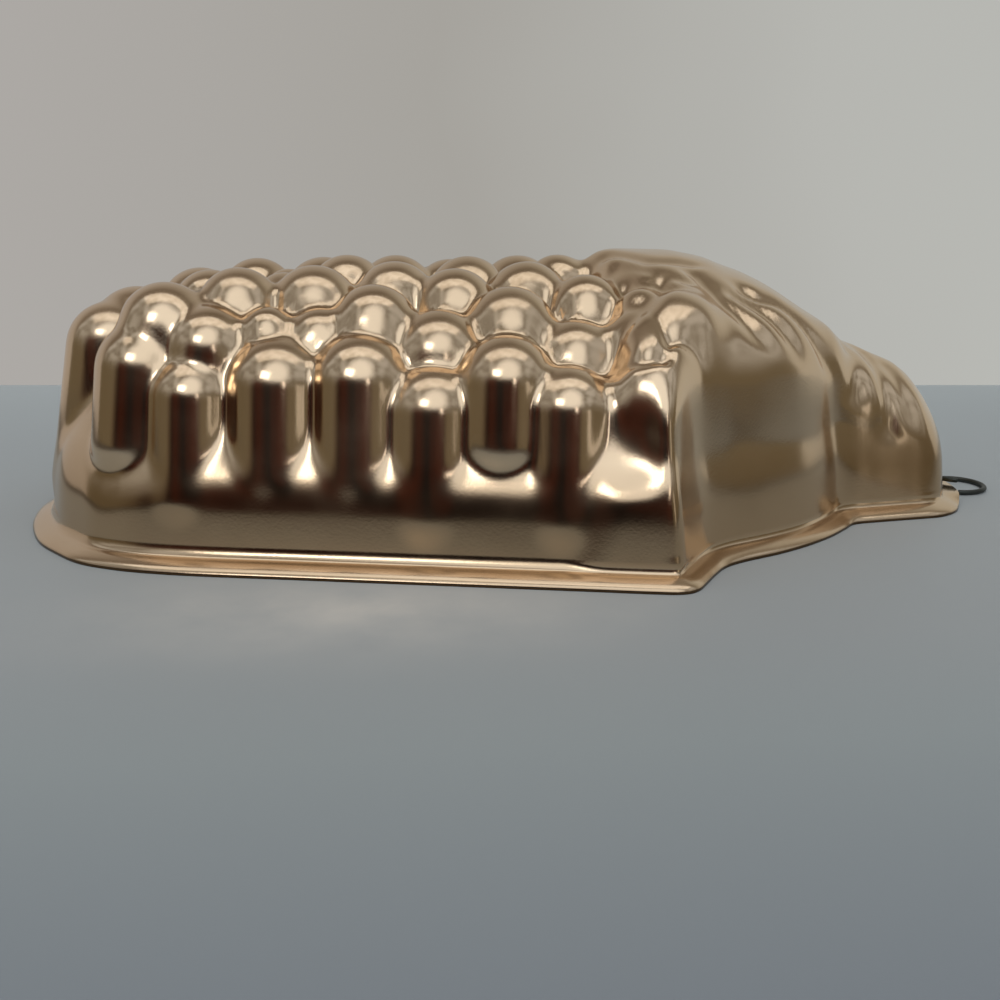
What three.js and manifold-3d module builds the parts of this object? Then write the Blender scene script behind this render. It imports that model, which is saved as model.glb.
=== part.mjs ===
import * as THREE from "three";
import { mergeVertices } from "three/addons/utils/BufferGeometryUtils.js";
import Module from "manifold-3d";

const wasm = await Module();
wasm.setup();

// A grape cluster cake mold of pressed aluminium sheet, lying on its rim with its dome up.
// It has two pieces: the sheet itself and the wire ring that it hangs by.
// Lengths are millimetres. +X runs from the cluster's tip to the stem, +Z is up.

// Plan and height of the mold
const moldLength = 280;
const moldHalfWidth = 85;
const moldHeight = 76;
const sheet = 1;

// Rim and walls
const rimWidth = 6;
const rimRise = 3.3;
const rimFillet = 1.8;
const wallDraft = THREE.MathUtils.degToRad(6.5);
const skirtHeight = 21;

// Grapes, leaf and stem tab
const grapeRadius = 10;
const grapeFillet = 1.7;
const columnDraft = THREE.MathUtils.degToRad(11);
const scoopDraft = THREE.MathUtils.degToRad(29);
const scoopFillet = 3;
const shoulderFillet = 9;
const leafFillet = 4.5;
const valleySag = 42;
const leafFrontDraft = THREE.MathUtils.degToRad(18);
const creaseDepth = 3;
const creaseWidth = 2.5;

// Hanging ring and the flat tongue of the rim that it passes through
const tongueHalfWidth = 14;
const tongueFade = 6;
const holeRadius = 2;
const holeFromEdge = 3;
const wireRadius = 0.8;
const ringRadius = 8.75;
const ringClearance = 0.6;
const tableClearance = 0.02;
const splitGap = 0.5;
const splitTurn = THREE.MathUtils.degToRad(50);
const ringSwing = THREE.MathUtils.degToRad(20);

// How finely the surfaces are divided
const columnCount = 120;
const wallRows = 4;
const fanRows = 8;
const topRows = 8;
const outlineSteps = 360;
const bisections = 24;
const holeSides = 24;
const grapeWeight = 2.6;
const bendWeight = 12;
const wireSides = 8;
const wireSteps = 66;

// Where the rays to the surface start: from the outline to the ridge, and up to the crown
const coreShare = 0.38;
const coreHeightShare = 0.5;

// Half of the rim's outline from the tip to the stem end, as shares of the length and half width
const outlineShares = [
  [0, 0],
  [0.0055, 0.14],
  [0.018, 0.27],
  [0.036, 0.394],
  [0.061, 0.5],
  [0.089, 0.595],
  [0.129, 0.666],
  [0.179, 0.718],
  [0.296, 0.795],
  [0.429, 0.88],
  [0.554, 0.96],
  [0.603, 0.9915],
  [0.622, 1],
  [0.634, 0.992],
  [0.643, 0.967],
  [0.652, 0.922],
  [0.665, 0.855],
  [0.68, 0.79],
  [0.7, 0.744],
  [0.741, 0.678],
  [0.775, 0.61],
  [0.807, 0.529],
  [0.832, 0.449],
  [0.848, 0.396],
  [0.877, 0.374],
  [0.921, 0.351],
  [0.95, 0.333],
  [0.973, 0.282],
  [0.9875, 0.206],
  [0.9965, 0.118],
  [1, 0],
];

// Where the columns of the surface meet on the ridge line, as shares of the length
const ridgeShares = [
  [0, 0.16],
  [0.09, 0.2],
  [0.36, 0.36],
  [0.625, 0.55],
  [0.73, 0.66],
  [0.85, 0.8],
  [0.92, 0.875],
  [1, 0.915],
];

// Height of the plain surface between the grapes along the axis, as shares of length and height
const valleyShares = [
  [0, 0.5],
  [0.1, 0.66],
  [0.16, 0.75],
  [0.23, 0.8],
  [0.32, 0.82],
  [0.5, 0.82],
  [0.58, 0.84],
  [0.65, 0.87],
  [1, 0.45],
];

// Height of the leaf and the stem tab along the axis, as shares of length and height
const leafShares = [
  [0, 0.9],
  [0.55, 0.97],
  [0.61, 1],
  [0.67, 0.995],
  [0.705, 0.97],
  [0.721, 0.945],
  [0.745, 0.915],
  [0.768, 0.875],
  [0.784, 0.84],
  [0.809, 0.78],
  [0.83, 0.735],
  [0.848, 0.68],
  [0.862, 0.63],
  [0.877, 0.615],
  [0.9, 0.57],
  [0.921, 0.545],
  [0.934, 0.51],
  [0.948, 0.455],
  [0.964, 0.39],
  [1, 0.2],
];

// How far the leaf and the tab sink from the axis to the rim, as shares of length and height
const leafSagShares = [
  [0, 0.5],
  [0.58, 0.53],
  [0.64, 0.49],
  [0.71, 0.4],
  [0.78, 0.26],
  [0.83, 0.12],
  [0.86, 0.16],
  [0.9, 0.24],
  [1, 0.26],
];

// Grapes that stand in the wall: place along the mold, height of the top, radius
const sideGrapeShares = [
  [0.1, 0.825, 1.3, 0.16],
  [0.148, 0.786, 1.3, 0.36],
  [0.197, 0.68, 1.15, 0.2],
  [0.276, 0.746, 1.36, 0.28],
  [0.353, 0.759, 1.34, 0.28],
  [0.419, 0.661, 1.28, 0.16],
  [0.484, 0.761, 1.26, 0.4],
  [0.538, 0.667, 1.2, 0.16],
];

// Grapes on the crown: place along, place across, height of the top, radius
const crownGrapeShares = [
  [0.211, 0.375, 0.84, 1.2],
  [0.266, 0.4, 0.837, 0.78],
  [0.314, 0.4, 0.831, 0.92],
  [0.365, 0.388, 0.908, 1.2],
  [0.425, 0.45, 0.828, 1.28],
  [0.493, 0.4, 0.899, 1.27],
  [0.552, 0.48, 0.792, 1.18],
  [0.61, 0.494, 0.827, 1],
  [0.168, 0.31, 0.914, 1.25],
  [0.234, 0.235, 0.956, 1.14],
  [0.272, 0.08, 0.925, 0.9],
  [0.306, 0.212, 0.96, 1.26],
  [0.384, 0.165, 0.969, 1.18],
  [0.443, 0.235, 0.948, 1.17],
  [0.516, 0.165, 0.966, 1.22],
  [0.57, 0.282, 0.928, 1.08],
  [0.335, 0, 0.982, 1.15],
  [0.459, 0, 0.975, 1.2],
  [0.553, 0, 0.98, 1],
  [0.12, 0, 0.87, 1.3],
  [0.195, 0, 0.93, 1.1],
  [0.617, 0.41, 0.89, 0.7],
  [0.647, 0.49, 0.885, 1.15],
];

// Front edge of the leaf: place across, place along
const leafEdgeShares = [
  [0, 0.585],
  [0.2, 0.6],
  [0.33, 0.62],
  [0.42, 0.65],
  [0.5, 0.645],
  [0.62, 0.59],
  [1, 0.572],
];

// Creases pressed into the leaf and the tab: runs of places along and across, then the depth
const creaseShares = [
  [[[0.676, 0.28], [0.696, 0.42], [0.72, 0.5], [0.745, 0.53]], 0.8, 1, 0.7],
  [[[0.728, 0.28], [0.742, 0.3]], 1, 1, 0.7],
  [[[0.713, 0.34], [0.746, 0.4], [0.772, 0.46]], 0.8, 1, 0.7],
  [[[0.755, 0.28], [0.784, 0.31], [0.815, 0.34]], 0.7, 1, 0.7],
  [[[0.6, 0.08], [0.635, 0.22], [0.679, 0.2]], 0.5, 1, 0.7],
  [[[0.605, 0.2], [0.635, 0.32], [0.665, 0.36]], 0.5, 1, 0.7],
  [[[0.853, 0.16], [0.852, 0.34]], 0.6, 1.2, 0.6],
  [[[0.882, 0.06], [0.89, 0.2], [0.9, 0.36]], 0.7, 0.8, 0.45],
  [[[0.905, 0.1], [0.93, 0.32]], 0.35, 1.2, 0.55],
  [[[0.583, 0.86], [0.593, 0.86]], 1.7, 2.2, 0.26],
  [[[0.638, 0.36], [0.651, 0.43], [0.661, 0.54], [0.655, 0.65], [0.627, 0.67]], 0.4, 0.7, 0.5],
  [[[0.638, 0.36], [0.625, 0.48], [0.62, 0.58], [0.627, 0.67], [0.617, 0.73]], 0.4, 0.7, 0.5],
  [[[0.58, 0.6], [0.585, 0.7], [0.601, 0.745], [0.617, 0.73]], 0.5, 0.7, 0.5],
];

// Over how much of the leaf's height a crease fades out above its foot
const creaseFadeShare = 0.15;

// Outer side of the rim from the cut edge to the wall, as shares of its width and rise
const rimShares = [
  [0, 0],
  [0.035, 0.28],
  [0.2, 0.54],
  [0.53, 0.81],
  [0.88, 1.05],
];

const tan = Math.tan(wallDraft);
const cos = Math.cos(wallDraft);
const sin = Math.sin(wallDraft);
const scoopSlope = Math.tan(scoopDraft) - tan;

// Straight interpolation in a table of pairs
function lookUp(table, at) {
  const last = table.length - 1;
  let i = 1;
  while (i < last && table[i][0] < at) i += 1;
  const [x0, y0] = table[i - 1];
  const [x1, y1] = table[i];
  return THREE.MathUtils.lerp(y0, y1, THREE.MathUtils.clamp((at - x0) / (x1 - x0), 0, 1));
}

// Smooth minimum and maximum, which leave a fillet of about the given radius
function smoothMin(a, b, fillet) {
  const share = Math.max(fillet - Math.abs(a - b), 0) / fillet;
  return Math.min(a, b) - (share * share * fillet) / 4;
}

function smoothMax(a, b, fillet) {
  return -smoothMin(-a, -b, fillet);
}

function smoothStep(share) {
  return THREE.MathUtils.smoothstep(share, 0, 1);
}

// The whole outline as a closed curve, symmetrical about the axis
const halfOutline = outlineShares.map(
  ([along, across]) => new THREE.Vector3(along * moldLength, -across * moldHalfWidth, 0),
);
const mirroredOutline = halfOutline
  .slice(1, -1)
  .reverse()
  .map((point) => new THREE.Vector3(point.x, -point.y, 0));
const outlineCurve = new THREE.CatmullRomCurve3(
  [...halfOutline, ...mirroredOutline],
  true,
  "centripetal",
);
outlineCurve.arcLengthDivisions = 4 * outlineSteps;
const outlinePoints = outlineCurve.getSpacedPoints(outlineSteps).slice(0, outlineSteps);

// Distance from the outline to a point inside it
function insetOf(x, y) {
  let best = Infinity;
  for (let i = 0; i < outlineSteps; i += 1) {
    const a = outlinePoints[i];
    const b = outlinePoints[(i + 1) % outlineSteps];
    const dx = b.x - a.x;
    const dy = b.y - a.y;
    const share = ((x - a.x) * dx + (y - a.y) * dy) / (dx * dx + dy * dy);
    const t = THREE.MathUtils.clamp(share, 0, 1);
    best = Math.min(best, Math.hypot(x - a.x - t * dx, y - a.y - t * dy));
  }
  return best;
}

// Grapes that stand in the wall lean inwards from the top of the skirt, flush with it there
function sideGrape([along, top, size, foot]) {
  const x = along * moldLength;
  const r = size * grapeRadius;
  const z = top * moldHeight - r;
  const skirtInset = rimWidth + (skirtHeight - rimRise) * tan;
  const lean = (z - skirtHeight) * Math.tan(columnDraft);
  const inset = skirtInset + lean + r / Math.cos(columnDraft);
  let low = 0;
  let high = moldHalfWidth;
  for (let step = 0; step < bisections; step += 1) {
    const y = (low + high) / 2;
    const inside = y < moldHalfWidth * lookUp(outlineShares, along);
    if (inside && insetOf(x, y) > inset) low = y;
    else high = y;
  }
  const out = new THREE.Vector3(
    insetOf(x - sheet, low) - insetOf(x + sheet, low),
    insetOf(x, low - sheet) - insetOf(x, low + sheet),
    0,
  ).setLength(Math.sin(columnDraft));
  const reach = z - foot * moldHeight;
  return { x, y: low, z, r, reach, lean: out.setZ(-Math.cos(columnDraft)) };
}

function crownGrape([along, across, top, size]) {
  const r = size * grapeRadius;
  return { x: along * moldLength, y: across * moldHalfWidth, z: top * moldHeight - r, r };
}

const grapes = [...sideGrapeShares.map(sideGrape), ...crownGrapeShares.map(crownGrape)];

// A grape is a ball on a leaning column, or on a cone that widens downwards with the draft
function grapeField(grape, x, side, z) {
  const dx = x - grape.x;
  const dy = side - grape.y;
  const up = z - grape.z;
  if (grape.lean) {
    const along = dx * grape.lean.x + dy * grape.lean.y + up * grape.lean.z;
    const down = THREE.MathUtils.clamp(along, 0, grape.reach);
    return Math.hypot(
      dx - down * grape.lean.x,
      dy - down * grape.lean.y,
      up - down * grape.lean.z,
    ) - grape.r;
  }
  const out = Math.hypot(dx, dy);
  if (up * cos > out * sin) return Math.hypot(out, up) - grape.r;
  return out * cos + up * sin - grape.r;
}

// Depth of the creases at a place on the leaf
function creaseAt(x, y, heightShare) {
  let depth = 0;
  for (const [run, deepShare, wideShare, footShare] of creaseShares) {
    let nearest = Infinity;
    for (let i = 1; i < run.length; i += 1) {
      const ax = run[i - 1][0] * moldLength;
      const ay = run[i - 1][1] * moldHalfWidth;
      const dx = run[i][0] * moldLength - ax;
      const dy = run[i][1] * moldHalfWidth - ay;
      const share = ((x - ax) * dx + (Math.abs(y) - ay) * dy) / (dx * dx + dy * dy);
      const t = THREE.MathUtils.clamp(share, 0, 1);
      nearest = Math.min(nearest, Math.hypot(x - ax - t * dx, Math.abs(y) - ay - t * dy));
    }
    const faded = smoothStep((heightShare - footShare) / creaseFadeShare);
    const width = wideShare * creaseWidth;
    depth += deepShare * creaseDepth * faded * Math.exp(-((nearest / width) ** 2));
  }
  return depth;
}

// The sheet's outer surface is where this field is zero; it is below zero inside the dome
function field(x, y, z) {
  const along = x / moldLength;
  const across = Math.abs(y) / moldHalfWidth;
  const inset = insetOf(x, y);
  const bulge = Math.min(across / lookUp(outlineShares, along), 1) ** 2;
  const wall = (rimWidth - inset + (z - rimRise) * tan) * cos;
  const valley = z - moldHeight * lookUp(valleyShares, along) + valleySag * bulge;
  const scoop = wall + (z - skirtHeight) * scoopSlope;
  let value = smoothMax(smoothMax(wall, scoop, scoopFillet), valley, shoulderFillet);
  for (const grape of grapes) {
    value = smoothMin(value, grapeField(grape, x, y, z), grapeFillet);
    if (grape.y > 0) value = smoothMin(value, grapeField(grape, x, -y, z), grapeFillet);
  }
  const crown = moldHeight * lookUp(leafShares, along);
  const leafTop = z - crown + moldHeight * lookUp(leafSagShares, along) * bulge;
  const behindEdge = lookUp(leafEdgeShares, across) * moldLength - x;
  const leafFront = (leafTop + behindEdge / Math.tan(leafFrontDraft)) * Math.sin(leafFrontDraft);
  const plainLeaf = smoothMax(wall, smoothMax(leafTop, leafFront, leafFillet), shoulderFillet);
  return smoothMin(value, plainLeaf + creaseAt(x, y, z / crown), leafFillet);
}

// Unit normal of the outer surface
const probe = sheet / 20;
function normalAt(p) {
  return new THREE.Vector3(
    field(p.x + probe, p.y, p.z) - field(p.x - probe, p.y, p.z),
    field(p.x, p.y + probe, p.z) - field(p.x, p.y - probe, p.z),
    field(p.x, p.y, p.z + probe) - field(p.x, p.y, p.z - probe),
  ).normalize();
}

// The point where a ray from inside the dome leaves it
function surfacePoint(from, direction) {
  const at = new THREE.Vector3();
  const inside = (reach) => {
    at.copy(from).addScaledVector(direction, reach);
    return field(at.x, at.y, at.z) < 0;
  };
  let high = -rimWidth;
  while (inside(high)) high += sheet;
  let low = high - sheet;
  for (let step = 0; step < bisections; step += 1) {
    const middle = (low + high) / 2;
    if (inside(middle)) low = middle;
    else high = middle;
  }
  return from.clone().addScaledVector(direction, high);
}

// Columns gather along the grapes and where the outline bends
const half = columnCount / 2;
function columnPlaces() {
  const steps = outlineSteps / 2;
  const weights = [0];
  for (let i = 0; i < steps; i += 1) {
    const before = outlinePoints[(i + outlineSteps - 1) % outlineSteps];
    const here = outlinePoints[i];
    const after = outlinePoints[i + 1];
    const a = here.clone().sub(before);
    const b = after.clone().sub(here);
    const besideGrapes = here.x < leafEdgeShares[0][0] * moldLength;
    weights.push(weights[i] + (besideGrapes ? grapeWeight : 1) + bendWeight * a.angleTo(b));
  }
  const places = [];
  for (let j = 0; j <= half; j += 1) {
    const target = (weights[steps] * j) / half;
    let i = 1;
    while (i < steps && weights[i] < target) i += 1;
    const share = (target - weights[i - 1]) / (weights[i] - weights[i - 1]);
    places.push((i - 1 + share) / outlineSteps);
  }
  return places;
}

// Section of the rim from the cut edge to the foot of the wall: outer side, then inner side
const wallFoot = [rimWidth + rimFillet * tan, rimRise + rimFillet];
const outerRimSection = rimShares.map(([across, up]) => [across * rimWidth, up * rimRise]);
const innerRimSection = outerRimSection.map(([inset, rise], row) => {
  if (row === 0) return [sheet, 0];
  const [beforeInset, beforeRise] = outerRimSection[row - 1];
  const [afterInset, afterRise] = outerRimSection[row + 1] ?? wallFoot;
  const run = new THREE.Vector2(afterInset - beforeInset, afterRise - beforeRise).setLength(sheet);
  return [inset + run.y, rise - run.x];
});

// The lip isn't turned down on the tongue where the ring passes under the rim
function tongueShare(point) {
  if (point.x < moldLength / 2) return 0;
  return 1 - smoothStep((Math.abs(point.y) - tongueHalfWidth) / tongueFade);
}

function rimPoints(section, edge, inward) {
  const lift = tongueShare(edge);
  return section.map(([inset, rise], row) => {
    const onTop = section === outerRimSection && row > 0;
    const tongueRise = Math.max(rise, onTop ? rimRise : rimRise - sheet);
    const point = edge.clone().addScaledVector(inward, inset);
    return point.setZ(THREE.MathUtils.lerp(rise, tongueRise, lift));
  });
}

// One column of points up the outer side and one up the inner side
function column(place) {
  const edge = outlineCurve.getPointAt(place);
  const along = outlineCurve.getTangentAt(place);
  const inward = new THREE.Vector3(-along.y, along.x, 0);
  const ridge = new THREE.Vector3(moldLength * lookUp(ridgeShares, edge.x / moldLength), 0, 0);
  const core = edge.clone().lerp(ridge, coreShare);
  const outward = edge.clone().sub(ridge).normalize();
  const crown = moldHeight * Math.max(
    lookUp(valleyShares, core.x / moldLength),
    lookUp(leafShares, core.x / moldLength),
  );
  const coreHeight = coreHeightShare * crown;
  const outer = [];
  for (let row = 0; row < wallRows; row += 1) {
    core.z = THREE.MathUtils.lerp(wallFoot[1], coreHeight, row / wallRows);
    outer.push(surfacePoint(core, outward));
  }
  core.z = coreHeight;
  for (let row = 0; row < fanRows; row += 1) {
    const angle = ((Math.PI / 2) * row) / fanRows;
    const direction = outward.clone().multiplyScalar(Math.cos(angle));
    direction.z = Math.sin(angle);
    outer.push(surfacePoint(core, direction));
  }
  const up = new THREE.Vector3(0, 0, 1);
  for (let row = 0; row <= topRows; row += 1) {
    const from = core.clone().lerp(ridge, row / topRows);
    from.z = coreHeight;
    outer.push(surfacePoint(from, up));
  }
  const inner = outer.map((point) => point.clone().addScaledVector(normalAt(point), -sheet));
  return {
    outer: [...rimPoints(outerRimSection, edge, inward), ...outer],
    inner: [...rimPoints(innerRimSection, edge, inward), ...inner],
  };
}

// The sheet as one closed surface: outer side, inner side and the cut edge between them
function shellGeometry() {
  const halfColumns = columnPlaces().map(column);
  const rows = halfColumns[0].outer.length;
  const positions = [];
  const indexOf = new Map();
  const vertex = (side, j, row) => {
    const ownHalf = j <= half;
    const source = ownHalf ? j : columnCount - j;
    const onAxis = source === 0 || source === half || row === rows - 1;
    const key = [side, row, onAxis ? source : j].join();
    if (!indexOf.has(key)) {
      const point = halfColumns[source][side][row];
      const across = onAxis ? 0 : point.y;
      indexOf.set(key, positions.length / 3);
      positions.push(point.x, ownHalf ? across : -across, point.z);
    }
    return indexOf.get(key);
  };
  const faces = [];
  const pointOf = (index) => new THREE.Vector3().fromArray(positions, 3 * index);
  const quad = (a, b, c, d, acrossBD) => {
    if (acrossBD) faces.push(a, b, d, b, c, d);
    else if (c === d) faces.push(a, b, c);
    else faces.push(a, b, c, a, c, d);
  };
  for (let j = 0; j < columnCount; j += 1) {
    const next = (j + 1) % columnCount;
    for (let row = 0; row < rows - 1; row += 1) {
      const [a, b, c, d] = [
        vertex("outer", j, row),
        vertex("outer", next, row),
        vertex("outer", next, row + 1),
        vertex("outer", j, row + 1),
      ];
      const diagonal = pointOf(a).distanceTo(pointOf(c));
      const shorterBD = c !== d && pointOf(b).distanceTo(pointOf(d)) < diagonal;
      quad(a, b, c, d, shorterBD);
      quad(
        vertex("inner", next, row),
        vertex("inner", j, row),
        vertex("inner", j, row + 1),
        vertex("inner", next, row + 1),
        c !== d && !shorterBD,
      );
    }
    quad(
      vertex("inner", j, 0),
      vertex("inner", next, 0),
      vertex("outer", next, 0),
      vertex("outer", j, 0),
      false,
    );
  }
  const geometry = new THREE.BufferGeometry();
  geometry.setAttribute("position", new THREE.Float32BufferAttribute(positions, 3));
  geometry.setIndex(faces);
  return geometry;
}

// A closed geometry as a solid for joining and cutting, and back again
function solidOf(geometry) {
  const plain = geometry.clone();
  plain.deleteAttribute("normal");
  plain.deleteAttribute("uv");
  const merged = mergeVertices(plain, sheet / 10000);
  return new wasm.Manifold(
    new wasm.Mesh({
      numProp: 3,
      vertProperties: merged.attributes.position.array,
      triVerts: new Uint32Array(merged.index.array),
    }),
  );
}

function geometryOf(solid) {
  const mesh = solid.getMesh();
  const geometry = new THREE.BufferGeometry();
  geometry.setAttribute("position", new THREE.BufferAttribute(mesh.vertProperties, 3));
  geometry.setIndex(new THREE.BufferAttribute(mesh.triVerts, 1));
  geometry.computeVertexNormals();
  return geometry;
}

// The hole in the tongue, and the ring's upright axis through it
const holeX = moldLength - holeFromEdge;
function holeGeometry() {
  return new THREE.CylinderGeometry(holeRadius, holeRadius, 4 * rimRise, holeSides)
    .rotateX(Math.PI / 2)
    .translate(holeX, 0, 0);
}

// The ring's wire lies on the table from its cut end round to under the tongue, comes up
// through the hole and ends above the rim, beside the end that it started from.
class RingCurve extends THREE.Curve {
  getPoint(share, target = new THREE.Vector3()) {
    const low = wireRadius + tableClearance;
    const high = rimRise + ringClearance + wireRadius;
    const riseArc = (holeRadius + wireRadius) / ringRadius;
    const turn = splitTurn + (2 * Math.PI - splitGap / ringRadius) * share;
    const climbed = smoothStep((turn - 2 * Math.PI + riseArc) / (2 * riseArc));
    return target.set(
      ringRadius * (1 - Math.cos(turn)),
      -ringRadius * Math.sin(turn),
      THREE.MathUtils.lerp(low, high, climbed),
    );
  }
}

function ringGeometry() {
  const section = new THREE.Shape();
  for (let side = 0; side < wireSides; side += 1) {
    const angle = (2 * Math.PI * side) / wireSides;
    const x = wireRadius * Math.cos(angle);
    const y = wireRadius * Math.sin(angle);
    if (side === 0) section.moveTo(x, y);
    else section.lineTo(x, y);
  }
  section.closePath();
  return new THREE.ExtrudeGeometry(section, {
    extrudePath: new RingCurve(),
    steps: wireSteps,
    bevelEnabled: false,
  });
}

// Pieces in the mold's own frame: the origin is on the table, in the middle of the whole length
const ringReach = ringRadius * (1 + Math.cos(ringSwing)) + wireRadius;
const wholeLength = holeX + ringReach;

function copperTone() {
  return new THREE.MeshStandardMaterial({ color: 0xc39a80, roughness: 0.28, metalness: 1 });
}

function blackenedSteel() {
  return new THREE.MeshStandardMaterial({ color: 0x3a3d3b, roughness: 0.45, metalness: 1 });
}

const pressedSheet = solidOf(shellGeometry()).subtract(solidOf(holeGeometry()));
const moldShell = new THREE.Mesh(geometryOf(pressedSheet), copperTone());
moldShell.name = "mold_shell";

const hangingRing = new THREE.Mesh(ringGeometry(), blackenedSteel());
hangingRing.name = "hanging_ring";
hangingRing.position.set(holeX, 0, 0);
hangingRing.rotation.z = ringSwing;

const cakeMold = new THREE.Group();
cakeMold.add(moldShell, hangingRing);
cakeMold.position.x = -wholeLength / 2;

const part = new THREE.Group();
part.add(cakeMold);

export default part;
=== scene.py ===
import math

import bpy
import numpy as np
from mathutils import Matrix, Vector


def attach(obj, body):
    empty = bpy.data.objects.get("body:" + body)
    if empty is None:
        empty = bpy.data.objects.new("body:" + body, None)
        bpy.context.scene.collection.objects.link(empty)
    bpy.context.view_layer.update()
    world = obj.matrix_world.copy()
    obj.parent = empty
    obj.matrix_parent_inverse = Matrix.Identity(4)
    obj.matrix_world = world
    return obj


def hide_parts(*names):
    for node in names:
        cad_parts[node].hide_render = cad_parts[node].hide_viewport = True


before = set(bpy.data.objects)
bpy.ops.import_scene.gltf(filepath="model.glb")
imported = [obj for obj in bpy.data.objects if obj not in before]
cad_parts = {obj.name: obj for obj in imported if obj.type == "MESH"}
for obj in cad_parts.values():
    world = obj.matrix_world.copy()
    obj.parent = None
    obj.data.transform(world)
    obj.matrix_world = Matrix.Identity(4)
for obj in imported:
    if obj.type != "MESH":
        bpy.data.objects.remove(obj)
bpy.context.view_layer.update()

# A grape cluster cake mold of copper-tone pressed aluminium, dome up on a pale table.
# Sizes are millimetres in the mold's own plan: x from the cluster's tip to the stem, z up.
# They become metres in the frame when a mesh is made.
MM = 0.001

# Plan and height of the mold
MOLD_LENGTH = 280.0
MOLD_HALF_WIDTH = 85.0
MOLD_HEIGHT = 76.0
SHEET = 1.0

# Rim and walls
RIM_WIDTH = 6.0
RIM_RISE = 3.3
RIM_FILLET = 1.8
WALL_DRAFT = math.radians(6.5)
SKIRT_HEIGHT = 21.0
SCOOP_SLOPE = 0.45
COLUMN_DRAFT = math.radians(11)

# Grapes, leaf and stem tab
GRAPE_RADIUS = 10.0
GRAPE_FILLET = 1.7
SCOOP_FILLET = 3.0
SHOULDER_FILLET = 9.0
LEAF_FILLET = 4.5
VALLEY_SAG = 42.0
LEAF_FRONT_DRAFT = math.radians(18)
CREASE_DEPTH = 3.0
CREASE_WIDTH = 2.5

# Hanging ring and the flat tongue of the rim that it passes through
TONGUE_HALF_WIDTH = 14.0
TONGUE_FADE = 6.0
HOLE_RADIUS = 2.0
HOLE_FROM_EDGE = 3.0
WIRE_RADIUS = 0.8
END_BEVEL = 0.3
END_SHARE = 0.7
RING_RADIUS = 8.75
RING_CLEARANCE = 0.6
TABLE_CLEARANCE = 0.02
SPLIT_GAP = 0.5
SPLIT_TURN = math.radians(50)
RING_SWING = math.radians(20)

# Half of the outline: place along the length and half width
OUTLINE_SHARES = [
    (0, 0), (0.0055, 0.14), (0.018, 0.27), (0.036, 0.394), (0.061, 0.5), (0.089, 0.595),
    (0.129, 0.666), (0.179, 0.718), (0.296, 0.795), (0.429, 0.88), (0.554, 0.96),
    (0.603, 0.9915), (0.622, 1), (0.634, 0.992), (0.643, 0.967), (0.652, 0.922),
    (0.665, 0.855), (0.68, 0.79), (0.7, 0.744), (0.741, 0.678), (0.775, 0.61),
    (0.807, 0.529), (0.832, 0.449), (0.848, 0.396), (0.877, 0.374), (0.921, 0.351),
    (0.95, 0.333), (0.973, 0.282), (0.9875, 0.206), (0.9965, 0.118), (1, 0),
]

# The rim's section: inset from the cut edge and height. Its underside keeps part of the inset.
RIM_SHARES = [(0, 0), (0.035, 0.28), (0.2, 0.54), (0.53, 0.81), (0.88, 1.05)]
RIM_UNDER_SHARE = 0.5

# Heights along the length: the valleys between the crown grapes, and the leaf with the tab
VALLEY_SHARES = [
    (0, 0.5), (0.1, 0.66), (0.16, 0.75), (0.23, 0.8), (0.32, 0.82), (0.5, 0.82),
    (0.58, 0.84), (0.65, 0.87), (1, 0.45),
]
LEAF_SHARES = [
    (0, 0.9), (0.55, 0.97), (0.61, 1), (0.67, 0.995), (0.705, 0.97), (0.721, 0.945),
    (0.745, 0.915), (0.768, 0.875), (0.784, 0.84), (0.809, 0.78), (0.83, 0.735),
    (0.848, 0.68), (0.862, 0.63), (0.877, 0.615), (0.9, 0.57), (0.921, 0.545),
    (0.934, 0.51), (0.948, 0.455), (0.964, 0.39), (1, 0.2),
]

# How far the leaf and the tab sag towards their sides, along the length
LEAF_SAG_SHARES = [
    (0, 0.5), (0.58, 0.53), (0.64, 0.49), (0.71, 0.4), (0.78, 0.26), (0.83, 0.12),
    (0.86, 0.16), (0.9, 0.24), (1, 0.26),
]

# The leaf's front edge: place across and place along
LEAF_EDGE_SHARES = [
    (0, 0.585), (0.2, 0.6), (0.33, 0.62), (0.42, 0.65), (0.5, 0.645), (0.62, 0.59), (1, 0.572),
]

# The near row of grapes: place along, top, size and the height of the column's foot
SIDE_GRAPE_SHARES = [
    (0.1, 0.825, 1.3, 0.16), (0.148, 0.786, 1.3, 0.36), (0.197, 0.68, 1.15, 0.2),
    (0.276, 0.746, 1.36, 0.28), (0.353, 0.759, 1.34, 0.28), (0.419, 0.661, 1.28, 0.16),
    (0.484, 0.761, 1.26, 0.4), (0.538, 0.667, 1.2, 0.16),
]

# The grapes on the crown: place along, place across, top and size
CROWN_GRAPE_SHARES = [
    (0.211, 0.375, 0.84, 1.2), (0.266, 0.4, 0.837, 0.78), (0.314, 0.4, 0.831, 0.92),
    (0.365, 0.388, 0.908, 1.2), (0.425, 0.45, 0.828, 1.28), (0.493, 0.4, 0.899, 1.27),
    (0.552, 0.48, 0.792, 1.18), (0.61, 0.494, 0.827, 1), (0.168, 0.31, 0.914, 1.25),
    (0.234, 0.235, 0.956, 1.14), (0.272, 0.08, 0.925, 0.9), (0.306, 0.212, 0.96, 1.26),
    (0.384, 0.165, 0.969, 1.18), (0.443, 0.235, 0.948, 1.17), (0.516, 0.165, 0.966, 1.22),
    (0.57, 0.282, 0.928, 1.08), (0.335, 0, 0.982, 1.15), (0.459, 0, 0.975, 1.2),
    (0.553, 0, 0.98, 1), (0.12, 0, 0.87, 1.3), (0.195, 0, 0.93, 1.1),
    (0.617, 0.41, 0.89, 0.7), (0.647, 0.49, 0.885, 1.15),
]

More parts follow.
